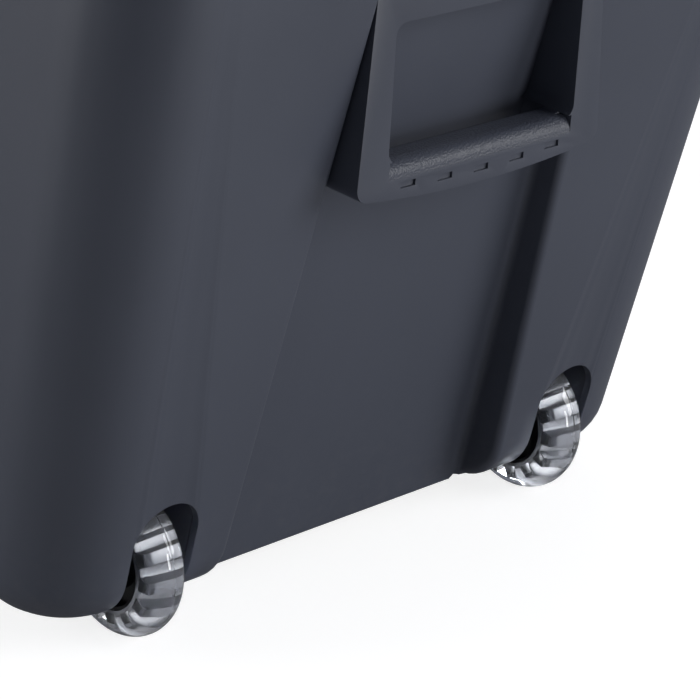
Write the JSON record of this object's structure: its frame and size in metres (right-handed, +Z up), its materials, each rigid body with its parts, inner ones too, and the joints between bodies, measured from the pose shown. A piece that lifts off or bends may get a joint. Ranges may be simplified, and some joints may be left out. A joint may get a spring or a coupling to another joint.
{
  "type": "deck storage box",
  "caption": "Long lidded outdoor storage box with sloping ends, recessed pull handles and clear-tyred wheels set into its corner posts.",
  "frame": {"origin": "on the floor under the middle of the overall box", "axes": "+X along the box towards the right-hand end, -Y towards the front, +Z up"},
  "size_m": [1.154, 0.4578, 0.498],
  "materials": {
    "shell_plastic": "fine-grained satin anthracite polypropylene",
    "inner_plastic": "matt anthracite polypropylene",
    "lid_plastic": "fine-grained satin anthracite polypropylene",
    "housing_plastic": "matt anthracite glass-filled nylon",
    "core_nylon": "semi-gloss black nylon",
    "clear_urethane": "clear cast urethane",
    "bearing_steel": "polished steel",
    "steel": "zinc-plated steel",
    "hinge_steel": "black zinc-plated steel"
  },
  "bodies": {
    "box": {"end_panel_right": "shell_plastic", "end_panel_left": "shell_plastic", "front_panel": "shell_plastic", "back_panel": "shell_plastic", "handle_right": "shell_plastic", "handle_left": "shell_plastic", "floor_pan": "inner_plastic", "handle_screws": "steel", "housing_right_front": "housing_plastic", "housing_right_back": "housing_plastic", "housing_left_front": "housing_plastic", "housing_left_back": "housing_plastic", "housing_screws": "steel", "axle_right_front": "steel", "axle_right_back": "steel", "axle_left_front": "steel", "axle_left_back": "steel", "hinge_leaves_box": "hinge_steel", "hinge_pins": "hinge_steel", "hinge_rivets_box": "hinge_steel"},
    "lid": {"lid_shell": "lid_plastic", "lid_liner": "inner_plastic", "lid_tubes": "steel", "hinge_leaves_lid": "hinge_steel", "hinge_rivets_lid": "hinge_steel"},
    "wheel_right_front": {"tyre_right_front": "clear_urethane", "core_right_front": "core_nylon", "bearings_right_front": "bearing_steel"},
    "wheel_right_back": {"tyre_right_back": "clear_urethane", "core_right_back": "core_nylon", "bearings_right_back": "bearing_steel"},
    "wheel_left_front": {"tyre_left_front": "clear_urethane", "core_left_front": "core_nylon", "bearings_left_front": "bearing_steel"},
    "wheel_left_back": {"tyre_left_back": "clear_urethane", "core_left_back": "core_nylon", "bearings_left_back": "bearing_steel"}
  },
  "joints": [
    {"name": "lid_hinge", "type": "hinge", "parent": "box", "child": "lid", "pos_m": [0, 0.22342, 0.43015], "axis": [-1, 0, 0], "range_deg": [0, 100]},
    {"name": "wheel_right_front_spin", "type": "hinge", "parent": "box", "child": "wheel_right_front", "pos_m": [0.463, -0.1219, 0.038], "axis": [0, 1, 0], "continuous": true},
    {"name": "wheel_right_back_spin", "type": "hinge", "parent": "box", "child": "wheel_right_back", "pos_m": [0.463, 0.1431, 0.038], "axis": [0, 1, 0], "continuous": true},
    {"name": "wheel_left_front_spin", "type": "hinge", "parent": "box", "child": "wheel_left_front", "pos_m": [-0.463, -0.1219, 0.038], "axis": [0, 1, 0], "continuous": true},
    {"name": "wheel_left_back_spin", "type": "hinge", "parent": "box", "child": "wheel_left_back", "pos_m": [-0.463, 0.1431, 0.038], "axis": [0, 1, 0], "continuous": true}
  ]
}
